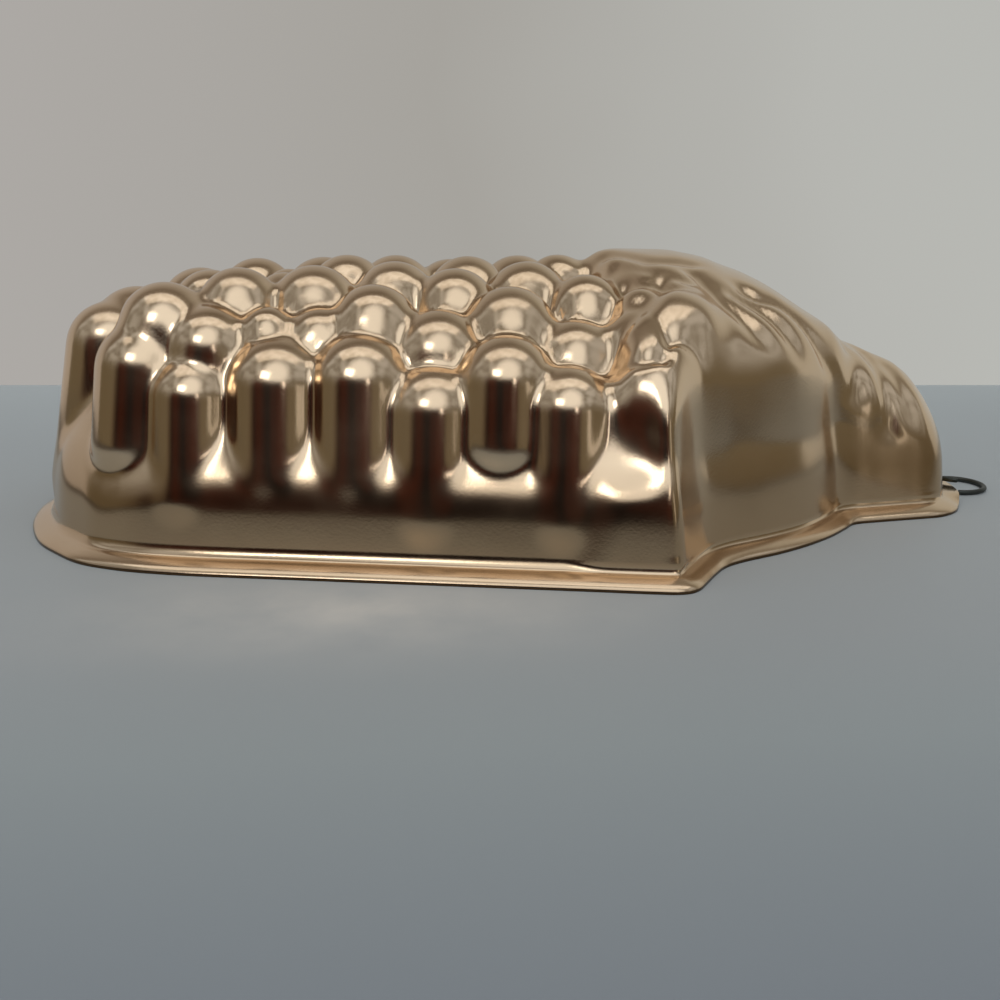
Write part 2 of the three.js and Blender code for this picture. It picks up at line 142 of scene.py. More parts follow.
# The leaf's creases: run, depth, width and the share of the leaf's height where they start
CREASE_SHARES = [
    ([(0.676, 0.28), (0.696, 0.42), (0.72, 0.5), (0.745, 0.53)], 0.8, 1, 0.7),
    ([(0.728, 0.28), (0.742, 0.3)], 1, 1, 0.7),
    ([(0.713, 0.34), (0.746, 0.4), (0.772, 0.46)], 0.8, 1, 0.7),
    ([(0.755, 0.28), (0.784, 0.31), (0.815, 0.34)], 0.7, 1, 0.7),
    ([(0.6, 0.08), (0.635, 0.22), (0.679, 0.2)], 0.5, 1, 0.7),
    ([(0.605, 0.2), (0.635, 0.32), (0.665, 0.36)], 0.5, 1, 0.7),
    ([(0.853, 0.16), (0.852, 0.34)], 0.6, 1.2, 0.6),
    ([(0.882, 0.06), (0.89, 0.2), (0.9, 0.36)], 0.7, 0.8, 0.45),
    ([(0.905, 0.1), (0.93, 0.32)], 0.35, 1.2, 0.55),
    ([(0.583, 0.86), (0.593, 0.86)], 1.7, 2.2, 0.26),
    ([(0.638, 0.36), (0.651, 0.43), (0.661, 0.54), (0.655, 0.65), (0.627, 0.67)], 0.4, 0.7, 0.5),
    ([(0.638, 0.36), (0.625, 0.48), (0.62, 0.58), (0.627, 0.67), (0.617, 0.73)], 0.4, 0.7, 0.5),
    ([(0.58, 0.6), (0.585, 0.7), (0.601, 0.745), (0.617, 0.73)], 0.5, 0.7, 0.5),
]
CREASE_FADE_SHARE = 0.15

# Where the rows of the mesh run: each place on the edge has its own place on the ridge, and the
# walls are found from a core line between the two
RIDGE_SHARES = [
    (0, 0.16), (0.09, 0.2), (0.36, 0.36), (0.625, 0.55), (0.73, 0.66), (0.85, 0.8),
    (0.92, 0.875), (1, 0.915),
]
CORE_SHARE = 0.38
CORE_HEIGHT_SHARE = 0.5

# How finely the shell is divided. Columns stand closer by the grapes and where the edge bends.
COLUMNS = 560
WALL_ROWS = 30
FAN_ROWS = 44
TOP_ROWS = 40
RIM_ROWS = 16
GRAPE_WEIGHT = 1.5
BEND_WEIGHT = 6.0
RELAX_PASSES = 3
RELAX_FROM_ROW = RIM_ROWS + 2

# How finely the outline is followed, and the grid of insets that is read between its lines
OUTLINE_STEPS = 1440
CURVE_STEPS = 16 * OUTLINE_STEPS
EDGE_STEP_SHARE = 0.0001
GRID_STEP = 0.5
GRID_MARGIN = 2.0
GRID_END_CELLS = 3.001
POINTS_AT_ONCE = 4000

# How closely grapes, surfaces and their directions are found
HALVINGS = 40
RAY_STEPS = 45
RAY_STEP_SHARE = 0.8
NORMAL_STEP = SHEET / 20
SMALLEST_SHARE = 0.000001

# How finely the hole and the wire are divided
HOLE_SIDES = 48
RING_STEPS = 220
RING_SIDES = 20
RING_END_STEPS = 3

# Worked out from the sizes above
WALL_TAN = math.tan(WALL_DRAFT)
WALL_COS = math.cos(WALL_DRAFT)
WALL_SIN = math.sin(WALL_DRAFT)
RIM_FOOT = RIM_RISE + RIM_FILLET
HOLE_X = MOLD_LENGTH - HOLE_FROM_EDGE
WHOLE_LENGTH = HOLE_X + RING_RADIUS * (1 + math.cos(RING_SWING)) + WIRE_RADIUS
MIDDLE_X = WHOLE_LENGTH / 2

# The shell's materials, in the order of their slots
SHELL_SKINS = ["copper_tone", "plain_aluminium", "cut_edge"]
OUTSIDE, INSIDE, CUT_EDGE = range(len(SHELL_SKINS))

# The copper tone by height: a painted contact shadow at the very edge of the rim, and painted
# shade that makes the skirt darker and browner
WHITE = (1, 1, 1)
CONTACT_SHADOW_TONE = (0.16, 0.13, 0.1)
SKIRT_SHADE_TONE = (0.72, 0.67, 0.6)
PAINTED_SHADE_BY_HEIGHT = [
    (0, CONTACT_SHADOW_TONE), (0.008, CONTACT_SHADOW_TONE), (0.013, WHITE), (0.045, WHITE), (0.075, SKIRT_SHADE_TONE),
    (0.2, SKIRT_SHADE_TONE), (0.38, WHITE),
]

# Each metal: dark and pale tone, lowest and highest roughness, stipple and painted shade by height
METALS = {
    "copper_tone": ((0.74, 0.555, 0.37), (0.8, 0.61, 0.42), 0.15, 0.22, 0.12, PAINTED_SHADE_BY_HEIGHT),
    "plain_aluminium": ((0.62, 0.62, 0.62), (0.74, 0.74, 0.73), 0.3, 0.42, 0.25, None),
    "cut_edge": ((0.66, 0.58, 0.48), (0.8, 0.72, 0.6), 0.28, 0.4, 0.2, None),
    "dark_steel": ((0.05, 0.055, 0.05), (0.12, 0.125, 0.115), 0.35, 0.5, 0.3, None),
}
TONE_SPREAD = (0.3, 0.7)
GLOSS_SPREAD = (0.35, 0.75)
STIPPLE_HEIGHT = 0.1

# Noises: scale and detail
DRIFT_NOISE = (18, 3)
HAZE_NOISE = (60, 4)
STIPPLE_NOISE = (1400, 2)
WALL_NOISE = (3, 3)
CLOUD_NOISE = (5, 2)
SHADOW_NOISE = (2.2, 2)

# Camera: the photograph's own view, worked out from the table's perspective
CAMERA_PITCH = math.radians(16)
CAMERA_YAW = math.radians(4.6)
CAMERA_HEIGHT = 93.99
CAMERA_FROM_TIP = (111.73, -326.35)
CAMERA_NEAREST = 10.0
SENSOR_WIDTH = 36.0
FOCAL_SHARE = 1.1

# Stage: the table reaches from behind the camera to the foot of the wall
TABLE_DEPTH = 531.0
TABLE_BEHIND = 400.0
STAGE_HALF_WIDTH = 1600.0
WALL_HEIGHT = 1200.0

# Table paint, from the near side to the far one and from left to right, with painted shade that
# darkens it towards the camera. The front and the sides get more painted shade for the metal and
# the lamps, but not for the camera.
TABLE_REACH = (-500.0, 300.0)
TABLE_SIDE_REACH = (-500.0, 500.0)
TABLE_ROUGHNESS = 0.55
TABLE_SHADED_TONES = [
    (0.348, (0.32, 0.355, 0.39)), (0.43, (0.43, 0.475, 0.485)), (0.49, (0.475, 0.505, 0.515)),
    (0.75, (0.55, 0.595, 0.61)), (0.88, (0.62, 0.675, 0.69)),
]
TABLE_FRONT_SHADE = [(0, (0.06, 0.04, 0.03)), (0.3, (0.17, 0.13, 0.11)), (0.348, WHITE)]
TABLE_SIDE_SHADE = [(0.12, (0.12, 0.09, 0.07)), (0.25, WHITE), (0.77, WHITE), (0.88, (0.6, 0.6, 0.6))]

# A painted glow: the mottled light that the mold throws on the table before it, painted into the
# table's colour
GLOW_PLACE = (-50.0, -88.0, 0.0)
GLOW_SIZE = (110.0, 45.0, 50.0)
GLOW_TONE = (0.93, 0.88, 0.8)

# Wall paint: its painted light from left to right, with a slow drift, and its painted shade by
# height
WALL_PAINT = (0.62, 0.61, 0.585)
WALL_ROUGHNESS = 0.6
WALL_DRIFT = 0.08
WALL_LIGHT_TONES = [
    (0.46, (0.42, 0.4, 0.38)), (0.54, (0.381, 0.366, 0.337)), (0.595, (0.468, 0.468, 0.44)),
    (0.625, (0.485, 0.491, 0.462)),
]
WALL_PAINTED_SHADE = [(0.18, WHITE), (0.45, (0.44, 0.4, 0.36))]

# The room: clouded light overhead, low sides, a bright window, and the dark where the camera is.
# A spread is where a part of the room begins and ends, by height, side or nearness to a heading.
OVERHEAD = [(0.38, (0.2, 0.19, 0.17)), (0.6, (0.5, 0.53, 0.56))]
OVERHEAD_SPREAD = (0.1, 0.6)
LOW_SIDES = (0.15, 0.13, 0.09)
BACKGROUND = (0.47, 0.465, 0.44)
WINDOW = (1.02, 1.08, 1.14)
WINDOW_HEADING = Vector((0.0, -0.72, 0.68)).normalized()
WINDOW_SPREAD = (0.84, 0.965)
DARK_ROOM = [(0.35, (0.006, 0.004, 0.004)), (0.62, (0.05, 0.012, 0.005))]
DARK_HEADING = Vector((-0.04, -1.0, 0.0)).normalized()
DARK_SPREAD = (0.44, 0.7)
DARK_TOP_SPREAD = (0.5, 0.32)
DARK_SIDE_SPREAD = (0.46, 0.3)

# Each lamp in metres and watts: name, place, target, size and power
LAMPS = [
    ("front_window", (-0.55, -0.9, 0.78), (0, 0, 0), (0.4, 0.3), 1.1),
    ("side_window", (0.25, -1.1, 0.42), (0, 0, 0), (0.12, 0.2), 0.12),
    ("right_card", (0.62, -0.7, 0.12), (0.1, -0.03, 0.03), (0.12, 0.3), 0.05),
    ("ceiling", (0, 0.3, 1.6), (0, 0, 0), (2.4, 1.6), 7.5),
]


# Curves and fillets
def look_up(table, at):
    """The table's second value at a first value between its points."""
    points = np.array(table, float)
    return np.interp(at, points[:, 0], points[:, 1])


def smooth_min(a, b, fillet):
    """The lower of two fields, with a fillet where they meet."""
    share = np.maximum(fillet - np.abs(a - b), 0) / fillet
    return np.minimum(a, b) - share * share * fillet / 4


def smooth_max(a, b, fillet):
    return -smooth_min(-a, -b, fillet)


def smooth_step(share):
    share = np.clip(share, 0, 1)
    return share * share * (3 - 2 * share)


def unit(vectors):
    return vectors / np.linalg.norm(vectors, axis=-1, keepdims=True)


def full_turn(sides):
    """The angles of a circle's points."""
    return np.arange(sides) * 2 * math.pi / sides


def closed_curve(points, steps):
    """A smooth curve through a closed list of points, even where their spacing changes."""
    count = len(points)
    found = []
    for u in np.arange(steps) / steps * count:
        i = int(u)
        w = u - i
        p0, p1, p2, p3 = [points[(i + k) % count] for k in (-1, 0, 1, 2)]
        d0, d1, d2 = [np.sum((a - b) ** 2) ** 0.25 for a, b in ((p0, p1), (p1, p2), (p2, p3))]
        t1 = ((p1 - p0) / d0 - (p2 - p0) / (d0 + d1) + (p2 - p1) / d1) * d1
        t2 = ((p2 - p1) / d1 - (p3 - p1) / (d1 + d2) + (p3 - p2) / d2) * d1
        found.append(p1 + t1 * w + (3 * (p2 - p1) - 2 * t1 - t2) * w**2
                     + (2 * (p1 - p2) + t1 + t2) * w**3)
    return np.array(found)


# The outline and the distance from it
HALF_OUTLINE = np.array(OUTLINE_SHARES) * [MOLD_LENGTH, -MOLD_HALF_WIDTH]
OUTLINE = closed_curve(
    np.concatenate([HALF_OUTLINE, HALF_OUTLINE[1:-1][::-1] * [1, -1]]), CURVE_STEPS
)
OUTLINE_ARC = np.concatenate([[0], np.cumsum(np.hypot(*(np.roll(OUTLINE, -1, 0) - OUTLINE).T))])


def outline_at(share):
    """Points on the outline at shares of its whole length, from the tip round the near side."""
    loop = np.concatenate([OUTLINE, OUTLINE[:1]])
    arc = (np.asarray(share) % 1) * OUTLINE_ARC[-1]
    return np.stack([np.interp(arc, OUTLINE_ARC, loop[:, k]) for k in (0, 1)], -1)


EDGE_POINTS = outline_at(np.arange(OUTLINE_STEPS) / OUTLINE_STEPS)


def exact_inset(x, y):
    """Distance from the outline of points inside it."""
    runs = np.roll(EDGE_POINTS, -1, 0) - EDGE_POINTS
    squares = (runs**2).sum(1)
    nearest = np.empty(len(x))
    for first in range(0, len(x), POINTS_AT_ONCE):
        some = slice(first, first + POINTS_AT_ONCE)
        from_edge = np.stack([x[some], y[some]], 1)[:, None] - EDGE_POINTS
        t = np.clip((from_edge * runs).sum(2) / squares, 0, 1)
        nearest[some] = np.sqrt(((from_edge - runs * t[..., None]) ** 2).sum(2)).min(1)
    return nearest


GRID_X = np.arange(-GRID_MARGIN, MOLD_LENGTH + GRID_MARGIN, GRID_STEP)
GRID_Y = np.arange(-GRID_MARGIN, MOLD_HALF_WIDTH + GRID_MARGIN, GRID_STEP)
GRID = exact_inset(*[g.ravel() for g in np.meshgrid(GRID_X, GRID_Y, indexing="ij")])
GRID = GRID.reshape(len(GRID_X), len(GRID_Y))


def inset_of(x, y):
    """The same distance, read smoothly from a fine grid of it."""
    u = np.clip((x - GRID_X[0]) / GRID_STEP, 1, len(GRID_X) - GRID_END_CELLS)
    v = np.clip((np.abs(y) - GRID_Y[0]) / GRID_STEP, 1, len(GRID_Y) - GRID_END_CELLS)
    i, j = u.astype(int), v.astype(int)

    def weights(w):
        """How much each of the four nearest grid lines counts."""
        return (w * (-0.5 + w * (1 - 0.5 * w)), 1 + w * w * (1.5 * w - 2.5),
                w * (0.5 + w * (2 - 1.5 * w)), w * w * (0.5 * w - 0.5))

    along, across = weights(u - i), weights(v - j)
    return sum(along[m] * across[n] * GRID[i + m - 1, j + n - 1]
               for m in range(4) for n in range(4))


# The outer surface of the pressed sheet
def side_grape(along, top, size, foot):
    """A grape whose column rises from the top of the skirt and leans in with its draft."""
    x = along * MOLD_LENGTH
    radius = size * GRAPE_RADIUS
    z = top * MOLD_HEIGHT - radius
    inset = RIM_WIDTH + (SKIRT_HEIGHT - RIM_RISE) * WALL_TAN
    inset += (z - SKIRT_HEIGHT) * math.tan(COLUMN_DRAFT) + radius / math.cos(COLUMN_DRAFT)
    low, high = 0.0, MOLD_HALF_WIDTH * look_up(OUTLINE_SHARES, along)
    for _ in range(HALVINGS):
        y = (low + high) / 2
        if exact_inset(np.array([x]), np.array([y]))[0] > inset:
            low = y
        else:
            high = y
    near = np.array([[x - SHEET, low], [x + SHEET, low], [x, low - SHEET], [x, low + SHEET]])
    behind, ahead, inner, outer = exact_inset(near[:, 0], near[:, 1])
    lean = np.array([behind - ahead, inner - outer])
    lean *= math.sin(COLUMN_DRAFT) / np.hypot(*lean)
    down = (lean[0], lean[1], -math.cos(COLUMN_DRAFT))
    return (x, low, z, radius, down, z - foot * MOLD_HEIGHT)


def crown_grape(along, across, top, size):
    """A grape on the crown, which widens downwards with the walls' draft."""
    radius = size * GRAPE_RADIUS
    middle = (along * MOLD_LENGTH, across * MOLD_HALF_WIDTH, top * MOLD_HEIGHT - radius)
    return (*middle, radius, None, 0)


GRAPES = [side_grape(*g) for g in SIDE_GRAPE_SHARES]
GRAPES += [crown_grape(*g) for g in CROWN_GRAPE_SHARES]


def grape_field(grape, x, y, z):
    """Distance from a grape: a round-ended column, or a ball on a cone."""
    grape_x, grape_y, grape_z, radius, down, reach = grape
    dx, dy, up = x - grape_x, y - grape_y, z - grape_z
    if down:
        t = np.clip(dx * down[0] + dy * down[1] + up * down[2], 0, reach)
        return np.sqrt((dx - t * down[0]) ** 2 + (dy - t * down[1]) ** 2
                       + (up - t * down[2]) ** 2) - radius
    out = np.hypot(dx, dy)
    ball = np.hypot(out, up) - radius
    cone = out * WALL_COS + up * WALL_SIN - radius
    return np.where(up * WALL_COS > out * WALL_SIN, ball, cone)


def crease_depth(x, y, height_share):
    """How deep the leaf's creases are here."""
    depth = np.zeros_like(x)
    for run, depth_share, width_share, foot_share in CREASE_SHARES:
        points = np.array(run) * [MOLD_LENGTH, MOLD_HALF_WIDTH]
        nearest = np.full_like(x, MOLD_LENGTH)
        for a, b in zip(points[:-1], points[1:]):
            d = b - a
            t = np.clip(((x - a[0]) * d[0] + (np.abs(y) - a[1]) * d[1]) / (d @ d), 0, 1)
            nearest = np.minimum(
                nearest, np.hypot(x - a[0] - t * d[0], np.abs(y) - a[1] - t * d[1]))
        faded = smooth_step((height_share - foot_share) / CREASE_FADE_SHARE)
        width = width_share * CREASE_WIDTH
        depth += depth_share * CREASE_DEPTH * faded * np.exp(-((nearest / width) ** 2))
    return depth


def field(x, y, z):
    """Zero on the sheet's outer surface, below zero inside the dome."""
    along, across = x / MOLD_LENGTH, np.abs(y) / MOLD_HALF_WIDTH
    half_width = np.maximum(look_up(OUTLINE_SHARES, along), SMALLEST_SHARE)
    bulge = np.minimum(across / half_width, 1) ** 2
    wall = (RIM_WIDTH - inset_of(x, y) + (z - RIM_RISE) * WALL_TAN) * WALL_COS
    valley = z - MOLD_HEIGHT * look_up(VALLEY_SHARES, along) + VALLEY_SAG * bulge
    scoop = wall + (z - SKIRT_HEIGHT) * SCOOP_SLOPE
    value = smooth_max(smooth_max(wall, scoop, SCOOP_FILLET), valley, SHOULDER_FILLET)
    for grape in GRAPES:
        value = smooth_min(value, grape_field(grape, x, y, z), GRAPE_FILLET)
        off_the_middle = grape[1] > 0
        if off_the_middle:
            value = smooth_min(value, grape_field(grape, x, -y, z), GRAPE_FILLET)
    crown = MOLD_HEIGHT * look_up(LEAF_SHARES, along)
    leaf_top = z - crown + MOLD_HEIGHT * look_up(LEAF_SAG_SHARES, along) * bulge
    behind = look_up(LEAF_EDGE_SHARES, across) * MOLD_LENGTH - x
    front = (leaf_top + behind / math.tan(LEAF_FRONT_DRAFT)) * math.sin(LEAF_FRONT_DRAFT)
    leaf = smooth_max(wall, smooth_max(leaf_top, front, LEAF_FILLET), SHOULDER_FILLET)
    leaf += crease_depth(x, y, z / crown)
    return smooth_min(value, leaf, LEAF_FILLET)


def normals_of(points):
    """Outward directions of the surface, from how the field changes along each axis."""
    steps = np.eye(3) * NORMAL_STEP
    return unit(np.stack([field(*(points + s).T) - field(*(points - s).T) for s in steps], 1))


def surface_points(starts, directions):
    """Walks from inside the dome along each ray to where it leaves it."""
    t = np.full(len(starts), -RIM_WIDTH)
    for _ in range(RAY_STEPS):
        t -= RAY_STEP_SHARE * field(*(starts + directions * t[:, None]).T)
    return starts + directions * t[:, None]


# The mesh of the shell
def column_places():
    """Places along half of the outline, closer together by the grapes and where it bends."""
    steps = OUTLINE_STEPS // 2
    points = outline_at(np.arange(-1, steps + 1) / OUTLINE_STEPS)
    runs = np.diff(points, axis=0)
    heading = np.unwrap(np.arctan2(runs[:, 1], runs[:, 0]))
    bends = np.abs(np.diff(heading))
    beside_grapes = points[1:-1, 0] < LEAF_EDGE_SHARES[0][1] * MOLD_LENGTH
    weights = np.where(beside_grapes, GRAPE_WEIGHT, 1) + BEND_WEIGHT * bends
    total = np.concatenate([[0], np.cumsum(weights)])
    targets = np.linspace(0, total[-1], COLUMNS // 2 + 1)
    return np.interp(targets, total, np.arange(steps + 1)) / OUTLINE_STEPS


def rim_section(inner):
    """Inset and height from the cut edge to the foot of the wall."""
    outer = np.array(RIM_SHARES) * [RIM_WIDTH, RIM_RISE]
    foot = [RIM_WIDTH + RIM_FILLET * WALL_TAN, RIM_FOOT]
    ends = np.concatenate([[outer[0] * [1, 0] - [0, RIM_RISE]], outer, [foot]])
    points = []
    for u in np.linspace(0, len(outer) - 1, RIM_ROWS):
        i = min(int(u), len(outer) - 2)
        w = u - i
        p0, p1, p2, p3 = ends[i:i + 4]
        points.append(0.5 * (2 * p1 + (p2 - p0) * w + (2 * p0 - 5 * p1 + 4 * p2 - p3) * w**2
                             + (3 * p1 - p0 - 3 * p2 + p3) * w**3))
    points = np.array(points)
    if not inner:
        return points
    run = unit(np.gradient(np.concatenate([points, [foot]]), axis=0)[:-1])
    insets = np.maximum(points[:, 0] + SHEET * run[:, 1], SHEET + points[:, 0] * RIM_UNDER_SHARE)
    heights = np.maximum(points[:, 1] - SHEET * run[:, 0], 0)
    return np.stack([insets, heights], 1)


def rim_points(edge, inward, inner):
    """The rim's rows beside the edge: they rise to a flat tongue at the stem end."""
    beside_tongue = (np.abs(edge[:, 1]) - TONGUE_HALF_WIDTH) / TONGUE_FADE
    lift = np.where(edge[:, 0] > MOLD_LENGTH / 2, 1 - smooth_step(beside_tongue), 0)
    under = RIM_RISE - SHEET
    rows = []
    for row, (inset, rise) in enumerate(rim_section(inner)):
        flat = under if row == 0 else max(rise, under if inner else RIM_RISE)
        rows.append(np.column_stack([edge + inward * inset, rise + (flat - rise) * lift]))
    return np.stack(rows, 1)


def rays(edge):
    """Starts and directions of the rays that find the walls, the shoulders and the top."""
    ridge_x = MOLD_LENGTH * look_up(RIDGE_SHARES, edge[:, 0] / MOLD_LENGTH)
    ridge = np.stack([ridge_x, np.zeros_like(ridge_x)], 1)
    outward = unit(edge - ridge)
    core = edge + (ridge - edge) * CORE_SHARE
    along = core[:, 0] / MOLD_LENGTH
    crown = MOLD_HEIGHT * np.maximum(look_up(VALLEY_SHARES, along), look_up(LEAF_SHARES, along))
    core_height = crown * CORE_HEIGHT_SHARE
    starts, directions = [], []

    def add(plan, height, flat, rise):
        starts.append(np.column_stack([plan, height]))
        directions.append(np.column_stack([outward * flat, np.full(len(plan), rise)]))

    for row in range(WALL_ROWS):
        add(core, RIM_FOOT + (core_height - RIM_FOOT) * row / WALL_ROWS, 1.0, 0.0)
    for row in range(FAN_ROWS):
        angle = math.pi / 2 * row / FAN_ROWS
        add(core, core_height, math.cos(angle), math.sin(angle))
    for row in range(TOP_ROWS + 1):
        add(core + (ridge - core) * row / TOP_ROWS, core_height, 0.0, 1.0)
    return np.concatenate(starts), np.concatenate(directions)


def relaxed(points):
    """Evens out the pressed surface above the rim; the far half is its mirror image."""
    mirror = [1, -1, 1]
    first = RELAX_FROM_ROW
    for _ in range(RELAX_PASSES):
        beside = np.concatenate([points[1:2] * mirror, points, points[-2:-1] * mirror])
        beyond = np.concatenate([points, points[:, -2:-1] * mirror], 1)
        around = (beside[:-2] + beside[2:])[:, first:]
        around = around + beyond[:, first - 1:-2] + beyond[:, first + 1:]
        points = np.concatenate([points[:, :first], (points[:, first:] + around / 4) / 2], 1)
    return points


def half_surface():
    """Points of the outer and the inner side over half the mold: [column, row, xyz]."""
    places = column_places()
    edge = outline_at(places)
    run = unit(outline_at(places + EDGE_STEP_SHARE) - outline_at(places - EDGE_STEP_SHARE))
    inward = np.stack([-run[:, 1], run[:, 0]], 1)
    outer_points = surface_points(*rays(edge))
    inner_points = outer_points - normals_of(outer_points) * SHEET
    sides = []
    for inner, points in ((False, outer_points), (True, inner_points)):
        rows = points.reshape(-1, len(edge), 3).transpose(1, 0, 2)
        sides.append(relaxed(np.concatenate([rim_points(edge, inward, inner), rows], 1)))
    return sides


def new_object(name, vertices, faces, smooth=True):
    mesh = bpy.data.meshes.new(name)
    mesh.from_pydata(vertices.tolist(), [], faces)
    mesh.validate()
    mesh.update()
    if smooth:
        mesh.polygons.foreach_set("use_smooth", [True] * len(mesh.polygons))
    made = bpy.data.objects.new(name, mesh)
    bpy.context.scene.collection.objects.link(made)
    return made


def in_frame(points):
    """Millimetres in the mold's own plan to metres in the frame."""
    return (points - [MIDDLE_X, 0, 0]) * MM


def in_metres(sizes):
    return tuple(size * MM for size in sizes)


def capped_tube(name, sections, smooth=True):
    """A closed tube through rings of points, with a flat cap at each end."""
    sides = len(sections[0])
    last = (len(sections) - 1) * sides
    faces = []
    for first in range(0, last, sides):
        for k in range(sides):
            after = (k + 1) % sides
            faces.append([first + k, first + after, first + sides + after, first + sides + k])
    faces += [list(range(sides))[::-1], list(range(last, last + sides))]
    return new_object(name, in_frame(np.concatenate(sections)), faces, smooth)


def build_shell():
    """The pressed sheet, as its outside, its inside and the cut edge between them."""
    sides = half_surface()
    outer, inner = range(len(sides))
    half = COLUMNS // 2
    rows = sides[0].shape[1]
    vertices, numbers = [], {}

    def vertex(side, column, row):
        near = column <= half
        source = column if near else COLUMNS - column
        on_axis = source in (0, half) or row == rows - 1
        key = (side, row, source if on_axis else column)
        if key not in numbers:
            x, y, z = sides[side][source, row]
            numbers[key] = len(vertices)
            vertices.append((x, 0 if on_axis else (y if near else -y), z))
        return numbers[key]

    faces, materials = [], []

    def add(material, *corners):
        faces.append(list(dict.fromkeys(vertex(*corner) for corner in corners)))
        materials.append(material)

    for column in range(COLUMNS):
        after = (column + 1) % COLUMNS
        for row in range(rows - 1):
            above = row + 1
            add(OUTSIDE, (outer, column, row), (outer, after, row),
                (outer, after, above), (outer, column, above))
            add(INSIDE, (inner, after, row), (inner, column, row),
                (inner, column, above), (inner, after, above))
        add(CUT_EDGE, (inner, column, 0), (inner, after, 0), (outer, after, 0), (outer, column, 0))
    made = new_object("pressed_shell", in_frame(np.array(vertices)), faces)
    made.data.polygons.foreach_set("material_index", materials)
    return made


def cut_hole(shell):
    """Cuts the ring's hole through the tongue of the rim."""
    turns = full_turn(HOLE_SIDES)
    circle = np.stack([HOLE_X + HOLE_RADIUS * np.cos(turns), HOLE_RADIUS * np.sin(turns)], 1)
    ends = [np.column_stack([circle, np.full(HOLE_SIDES, z)]) for z in (-RIM_RISE, 2 * RIM_RISE)]
    cutter = capped_tube("hole_cutter", ends, False)
    cut = shell.modifiers.new("hole", "BOOLEAN")
    cut.object = cutter
    cut.operation = "DIFFERENCE"
    cut.solver = "EXACT"
    bpy.context.view_layer.objects.active = shell
    bpy.ops.object.modifier_apply(modifier=cut.name)
    bpy.data.objects.remove(cutter)


# The hanging ring
def ring_path(share):
    """Centre line of the ring's wire about the hole, at rest, from one cut end to the other."""
    low = WIRE_RADIUS + TABLE_CLEARANCE
    high = RIM_RISE + RING_CLEARANCE + WIRE_RADIUS
    rise_arc = (HOLE_RADIUS + WIRE_RADIUS) / RING_RADIUS
    turn = SPLIT_TURN + (2 * math.pi - SPLIT_GAP / RING_RADIUS) * share
    climbed = smooth_step((turn - 2 * math.pi + rise_arc) / (2 * rise_arc))
    x, y = RING_RADIUS * (1 - np.cos(turn)), -RING_RADIUS * np.sin(turn)
    c, s = math.cos(RING_SWING), math.sin(RING_SWING)
    return np.stack([HOLE_X + x * c - y * s, x * s + y * c, low + (high - low) * climbed], -1)


def build_ring():
    """The bent wire, with its two cut ends bevelled."""
    centres = ring_path(np.linspace(0, 1, RING_STEPS + 1))
    along = unit(np.gradient(centres, axis=0))
    side = unit(np.cross([0.0, 0.0, 1.0], along))
    up = np.cross(along, side)
    turns = full_turn(RING_SIDES)
    places = [(0, 0, END_SHARE), (0, END_BEVEL, 1)]
    places += [(i, 0, 1) for i in range(RING_END_STEPS, RING_STEPS + 1 - RING_END_STEPS)]
    places += [(-1, -END_BEVEL, 1), (-1, 0, END_SHARE)]
    sections = []
    for i, shift, share in places:
        circle = np.outer(np.cos(turns), side[i]) + np.outer(np.sin(turns), up[i])
        sections.append(centres[i] + along[i] * shift + WIRE_RADIUS * share * circle)
    return capped_tube("ring_wire_bent", sections)


# Nodes that the paints and the room are made of
def feed(tree, value, socket):
    """Links another node's output to an input, or sets the input's own value."""
    if isinstance(value, bpy.types.NodeSocket):
        tree.links.new(value, socket)
    elif socket.type == "RGBA":
        socket.default_value = (*value, 1)
    else:
        socket.default_value = value


def node(tree, kind, inputs=None, **settings):
    """Adds a node with its settings, feeds its inputs and returns its outputs."""
    made = tree.nodes.new("ShaderNode" + kind)
    for name, value in settings.items():
        setattr(made, name, value)
    for key, value in (inputs or {}).items():
        feed(tree, value, made.inputs[key])
    return made.outputs


def position(tree, kind):
    return node(tree, "TexCoord")[kind]


def axes_of(tree, kind):
    return node(tree, "SeparateXYZ", {"Vector": position(tree, kind)})


def noise(tree, kind, scale, detail):
    inputs = {"Vector": position(tree, kind), "Scale": scale, "Detail": detail}
    return node(tree, "TexNoise", inputs)["Fac"]


def ranged(tree, source, start, end, interpolation="LINEAR"):
    """Zero at the start, one at the end."""
    inputs = {"Value": source, "From Min": start, "From Max": end}
    return node(tree, "MapRange", inputs, interpolation_type=interpolation)["Result"]


def math_of(tree, operation, *values):
    return node(tree, "Math", dict(enumerate(values)), operation=operation)["Value"]


def ramp(tree, source, stops):
    """Colours between stops, each a position and a colour."""
    made = tree.nodes.new("ShaderNodeValToRGB")
    elements = made.color_ramp.elements
    for i, (place, colour) in enumerate(stops):
        element = elements[i] if i < 2 else elements.new(place)
        element.position = place
        element.color = (*colour, 1)
    tree.links.new(source, made.inputs["Fac"])
    return made.outputs["Color"]


def mixed(tree, share, low, high, blend="MIX"):
    inputs = {"Factor": share, "A": low, "B": high}
    return node(tree, "Mix", inputs, data_type="RGBA", blend_type=blend)["Result"]


def multiplied(tree, first, second):
    return mixed(tree, 1, first, second, "MULTIPLY")


# Metals and stage paints
def new_material(name, colour, roughness, metallic=0.0):
    material = bpy.data.materials.new(name)
    material.use_nodes = True
    tree = material.node_tree
    shader = tree.nodes["Principled BSDF"]
    feed(tree, colour, shader.inputs["Base Color"])
    feed(tree, metallic, shader.inputs["Metallic"])
    feed(tree, roughness, shader.inputs["Roughness"])
    return material, tree, shader


